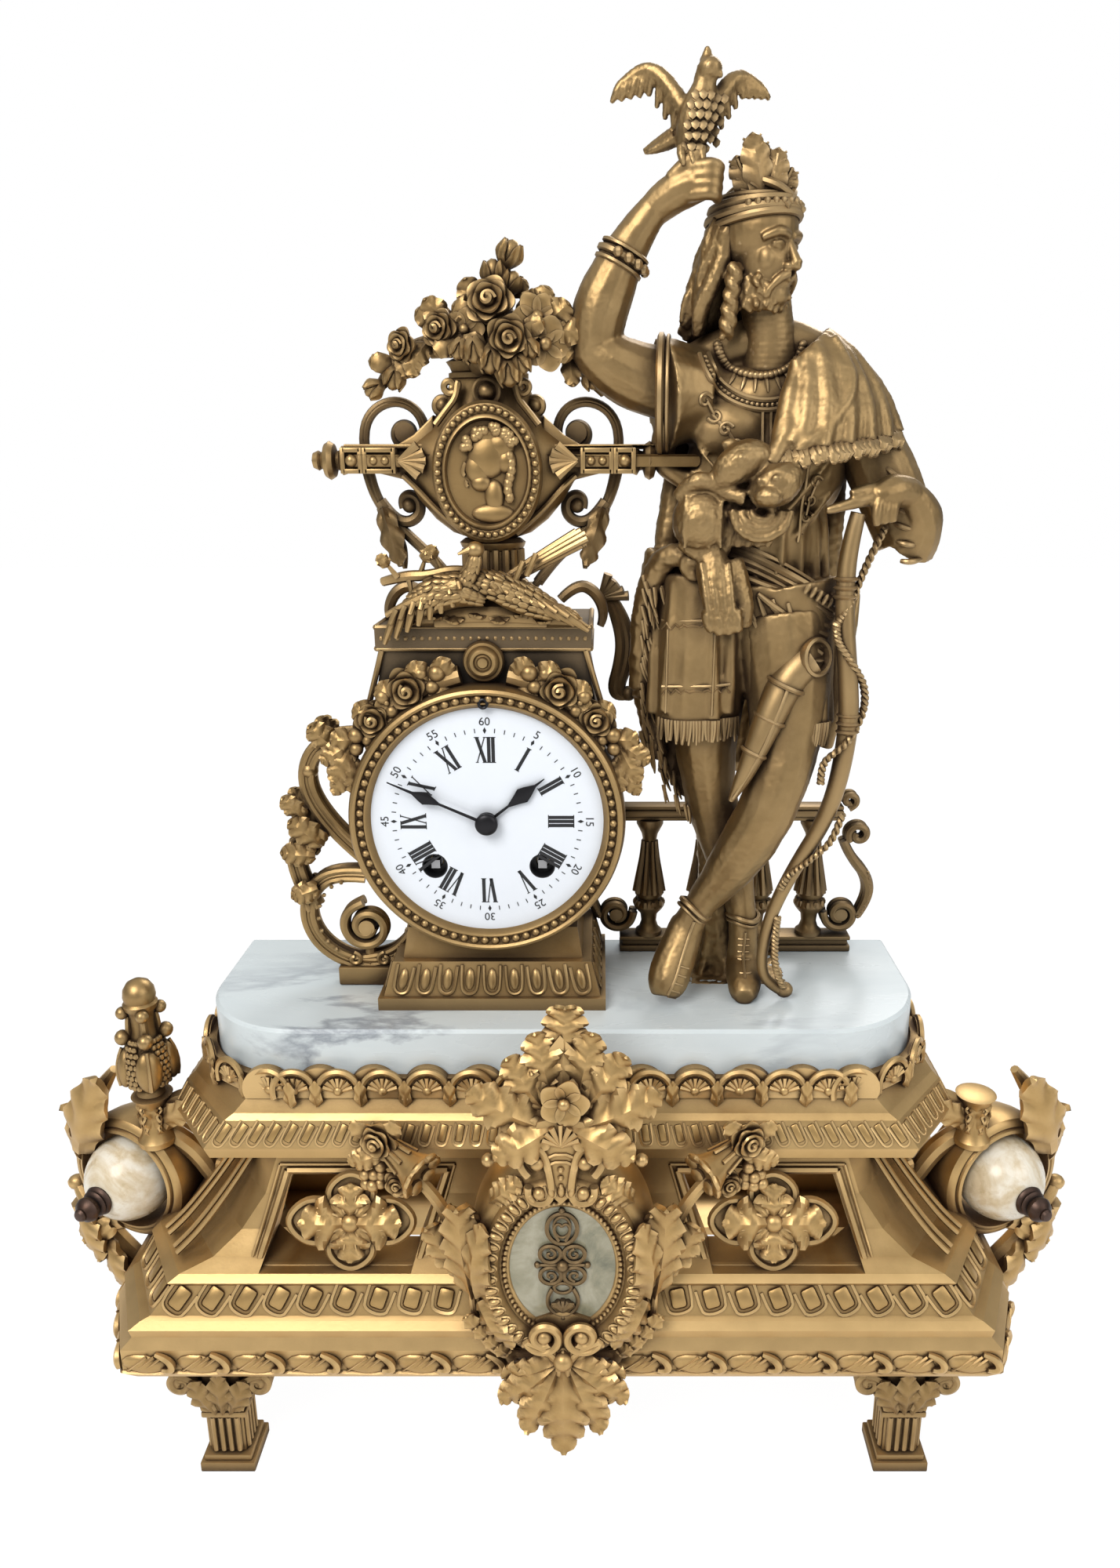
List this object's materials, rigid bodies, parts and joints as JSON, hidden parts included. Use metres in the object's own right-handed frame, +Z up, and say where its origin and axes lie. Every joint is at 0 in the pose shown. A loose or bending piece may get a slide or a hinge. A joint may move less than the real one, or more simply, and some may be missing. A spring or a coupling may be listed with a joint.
{
  "type": "figural mantel clock",
  "caption": "Gilt figural mantel clock with marble slab, drum dial, flower urn and a standing falconer on a pierced footed base.",
  "frame": {"origin": "middle of the whole clock's width and depth, at the level its feet stand on", "axes": "+Z up, the dial faces -Y, +X to the right of someone who looks at the dial"},
  "size_m": [0.43, 0.1242, 0.5143],
  "materials": {
    "aged_gilt": "cast and fire gilt, worn, dark red-brown in the hollows",
    "dark_gilt": "cast, darker bronze-brown gilding",
    "white_marble": "polished, soft grey veins",
    "cream_onyx": "polished, banded",
    "olive_onyx": "polished",
    "enamel": "glossy fired enamel",
    "black_steel": "blackened, satin",
    "steel": "polished steel",
    "clock_brass": "lacquered plate brass",
    "bell_metal": "bare turned bell metal"
  },
  "bodies": {
    "clock_case": {"foot_front_left": "aged_gilt", "foot_front_right": "aged_gilt", "foot_rear_left": "aged_gilt", "foot_rear_right": "aged_gilt", "foot_studs": "steel", "base_casting": "aged_gilt", "window_rosettes": "aged_gilt", "gallery_rim": "aged_gilt", "marble_slab": "white_marble", "slab_tie_rods": "steel", "cartouche_frame": "aged_gilt", "cartouche_plaque": "olive_onyx", "cartouche_filigree": "dark_gilt", "flower_spray_left": "aged_gilt", "flower_spray_right": "aged_gilt", "stone_ball_left": "cream_onyx", "stone_ball_right": "cream_onyx", "end_bracket_left": "aged_gilt", "end_bracket_right": "aged_gilt", "ball_finials": "aged_gilt", "torch_finial": "aged_gilt", "clock_plinth": "aged_gilt", "drum_case": "dark_gilt", "bezel": "aged_gilt", "enamel_dial": "enamel", "garland_mount": "aged_gilt", "front_movement_plate": "clock_brass", "back_movement_plate": "clock_brass", "plate_pillars": "clock_brass", "bell": "bell_metal", "urn_body": "aged_gilt", "urn_scroll_frame": "dark_gilt", "urn_medallion": "aged_gilt", "urn_bouquet": "aged_gilt", "game_trophy": "aged_gilt", "side_scroll": "aged_gilt", "figure_body": "aged_gilt", "figure_head": "aged_gilt", "figure_right_arm": "aged_gilt", "hunting_bird": "aged_gilt", "hunting_bow": "aged_gilt", "balustrade": "dark_gilt"},
    "rear_door": {"rear_door": "clock_brass"},
    "minute_train": {"centre_arbor": "steel", "minute_hand": "black_steel", "hand_collet": "black_steel"},
    "hour_train": {"hour_wheel": "clock_brass", "hour_hand": "black_steel"},
    "minute_wheel": {"minute_wheel": "clock_brass"},
    "second_wheel": {"second_wheel": "clock_brass"},
    "going_barrel": {"going_barrel": "clock_brass"},
    "strike_barrel": {"strike_barrel": "clock_brass"},
    "going_winding_arbor": {"going_winding_arbor": "steel"},
    "strike_winding_arbor": {"strike_winding_arbor": "steel"},
    "third_wheel": {"third_wheel": "clock_brass"},
    "escape_wheel": {"escape_wheel": "clock_brass"},
    "pallet_anchor": {"pallet_anchor": "steel"},
    "pendulum": {"pendulum": "clock_brass"},
    "strike_hammer": {"strike_hammer": "steel"},
    "regulator_arbor": {"regulator_arbor": "steel"}
  },
  "joints": [
    {"name": "minute_turn", "type": "hinge", "parent": "clock_case", "child": "minute_train", "pos_m": [-0.027, 0, 0.2655], "axis": [0, 1, 0], "continuous": true},
    {"name": "hour_turn", "type": "hinge", "parent": "clock_case", "child": "hour_train", "pos_m": [-0.027, 0, 0.2655], "axis": [0, 1, 0], "continuous": true},
    {"name": "minute_wheel_turn", "type": "hinge", "parent": "clock_case", "child": "minute_wheel", "pos_m": [-0.02137, 0, 0.27609], "axis": [0, 1, 0], "continuous": true},
    {"name": "second_wheel_turn", "type": "hinge", "parent": "clock_case", "child": "second_wheel", "pos_m": [-0.0135, 0, 0.26349], "axis": [0, 1, 0], "continuous": true},
    {"name": "going_barrel_turn", "type": "hinge", "parent": "clock_case", "child": "going_barrel", "pos_m": [-0.007, 0, 0.248], "axis": [0, 1, 0], "continuous": true},
    {"name": "strike_barrel_turn", "type": "hinge", "parent": "clock_case", "child": "strike_barrel", "pos_m": [-0.047, 0, 0.248], "axis": [0, 1, 0], "continuous": true},
    {"name": "going_winding", "type": "hinge", "parent": "clock_case", "child": "going_winding_arbor", "pos_m": [-0.007, 0, 0.248], "axis": [0, 1, 0], "range_deg": [0, 1980]},
    {"name": "strike_winding", "type": "hinge", "parent": "clock_case", "child": "strike_winding_arbor", "pos_m": [-0.047, 0, 0.248], "axis": [0, 1, 0], "range_deg": [0, 1980]},
    {"name": "third_wheel_turn", "type": "hinge", "parent": "clock_case", "child": "third_wheel", "pos_m": [-0.02937, 0, 0.27894], "axis": [0, 1, 0], "continuous": true},
    {"name": "escape_turn", "type": "hinge", "parent": "clock_case", "child": "escape_wheel", "pos_m": [-0.027, 0, 0.293], "axis": [0, 1, 0], "continuous": true},
    {"name": "anchor_rock", "type": "hinge", "parent": "clock_case", "child": "pallet_anchor", "pos_m": [-0.027, 0, 0.3025], "axis": [0, 1, 0], "range_deg": [-3, 3]},
    {"name": "pendulum_swing", "type": "hinge", "parent": "clock_case", "child": "pendulum", "pos_m": [-0.027, 0, 0.3025], "axis": [0, 1, 0], "range_deg": [-3, 3]},
    {"name": "hammer_swing", "type": "hinge", "parent": "clock_case", "child": "strike_hammer", "pos_m": [-0.0387, 0, 0.2855], "axis": [0, 1, 0], "range_deg": [0, 14]},
    {"name": "regulator_turn", "type": "hinge", "parent": "clock_case", "child": "regulator_arbor", "pos_m": [-0.027, 0, 0.3103], "axis": [0, 1, 0], "range_deg": [-180, 180]},
    {"name": "rear_door_swing", "type": "hinge", "parent": "clock_case", "child": "rear_door", "pos_m": [-0.0782, 0.0518, 0.2655], "axis": [0, 0, 1], "range_deg": [0, 110]}
  ],
  "couplings": [
    {"joint": "hour_turn", "follows": "minute_turn", "ratio": 0.083333},
    {"joint": "minute_wheel_turn", "follows": "minute_turn", "ratio": -0.33333},
    {"joint": "second_wheel_turn", "follows": "minute_turn", "ratio": -0.18182},
    {"joint": "going_barrel_turn", "follows": "minute_turn", "ratio": 0.030303},
    {"joint": "third_wheel_turn", "follows": "minute_turn", "ratio": -5.5},
    {"joint": "anchor_rock", "follows": "pendulum_swing", "ratio": 1}
  ]
}
